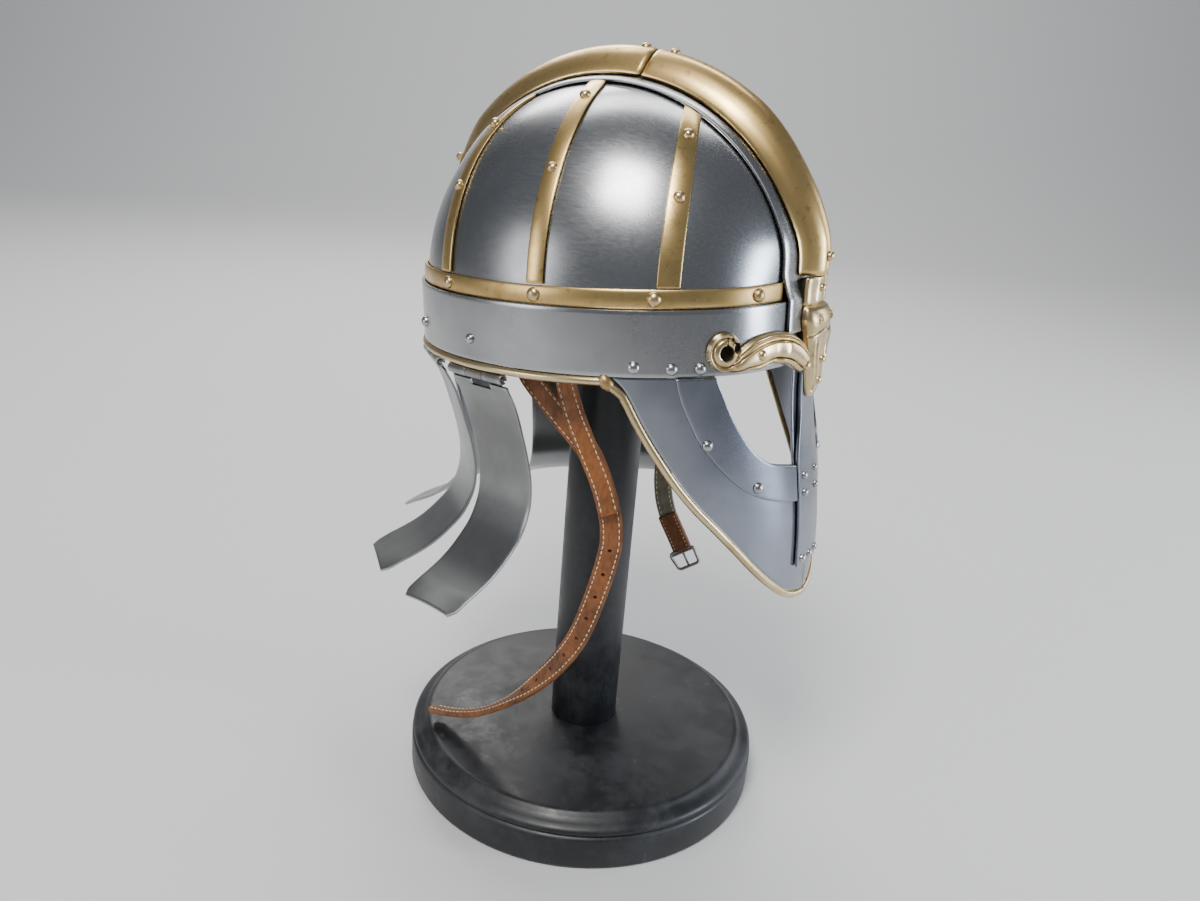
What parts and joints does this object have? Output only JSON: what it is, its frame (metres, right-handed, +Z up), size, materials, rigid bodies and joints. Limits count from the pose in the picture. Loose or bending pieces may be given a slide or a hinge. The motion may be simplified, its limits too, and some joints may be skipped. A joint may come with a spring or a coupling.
{
  "type": "norse iron helmet on wooden stand",
  "caption": "Spectacle-guard iron helmet with brass crest, beast head, eyebrows and ribs, hinged curved neck plates and leather chin straps, resting on a turned black wooden display stand.",
  "frame": {"origin": "centre of the stand's underside, on the axis of the post", "axes": "+Z up along the post; -Y the way the face looks; +X to the wearer's left"},
  "size_m": [0.2692, 0.2774, 0.4466],
  "materials": {
    "steel": "polished iron sheet with fine scratches",
    "dark_steel": "dull dark hinge and buckle iron",
    "brass": "worn cast and sheet brass",
    "leather": "tan stitched leather",
    "black_wood": "black satin paint, scuffed"
  },
  "bodies": {
    "helmet_and_stand": {"beast_head": "brass", "bowl_left": "steel", "bowl_right": "steel", "brass_band": "brass", "brow_band": "steel", "central_strap": "steel", "chin_rivet": "steel", "chin_strap_buckle": "dark_steel", "chin_strap_left": "leather", "chin_strap_right": "leather", "chin_strap_right_front": "leather", "crest_back": "brass", "crest_front": "brass", "crest_rivet_back": "brass", "crest_rivet_front": "brass", "crest_tail": "brass", "eye_ring_left": "steel", "eye_ring_right": "steel", "eyebrow_left": "brass", "eyebrow_right": "brass", "face_edging_left": "brass", "face_edging_right": "brass", "face_guard_left": "steel", "face_guard_right": "steel", "hinge_leaf_1": "dark_steel", "hinge_leaf_2": "dark_steel", "hinge_leaf_3": "dark_steel", "hinge_leaf_4": "dark_steel", "hinge_leaf_5": "dark_steel", "hinge_pin_1": "dark_steel", "hinge_pin_2": "dark_steel", "hinge_pin_3": "dark_steel", "hinge_pin_4": "dark_steel", "hinge_pin_5": "dark_steel", "nasal_strap": "steel", "rib_front_left": "brass", "rib_front_right": "brass", "rib_middle_left": "brass", "rib_middle_right": "brass", "rib_rear_left": "brass", "rib_rear_right": "brass", "rim_edging": "brass", "stand_base": "black_wood", "stand_knob": "black_wood", "stand_post": "black_wood"},
    "neck_plate_1": {"neck_plate_1": "steel"},
    "neck_plate_2": {"neck_plate_2": "steel"},
    "neck_plate_3": {"neck_plate_3": "steel"},
    "neck_plate_4": {"neck_plate_4": "steel"},
    "neck_plate_5": {"neck_plate_5": "steel"}
  },
  "joints": [
    {"name": "neck_plate_1_hinge", "type": "hinge", "parent": "helmet_and_stand", "child": "neck_plate_1", "pos_m": [-0.09095, 0.03035, 0.27762], "axis": [0.2427, 0.9664, -0.0851], "range_deg": [-4, 90]},
    {"name": "neck_plate_2_hinge", "type": "hinge", "parent": "helmet_and_stand", "child": "neck_plate_2", "pos_m": [-0.06578, 0.07974, 0.27327], "axis": [0.6536, 0.7539, -0.0664], "range_deg": [-4, 90]},
    {"name": "neck_plate_3_hinge", "type": "hinge", "parent": "helmet_and_stand", "child": "neck_plate_3", "pos_m": [0, 0.11156, 0.27047], "axis": [1, 0, 0], "range_deg": [-4, 90]},
    {"name": "neck_plate_4_hinge", "type": "hinge", "parent": "helmet_and_stand", "child": "neck_plate_4", "pos_m": [0.06578, 0.07974, 0.27327], "axis": [0.6536, -0.7539, 0.0664], "range_deg": [-4, 90]},
    {"name": "neck_plate_5_hinge", "type": "hinge", "parent": "helmet_and_stand", "child": "neck_plate_5", "pos_m": [0.09095, 0.03035, 0.27762], "axis": [0.2427, -0.9664, 0.0851], "range_deg": [-4, 90]}
  ]
}
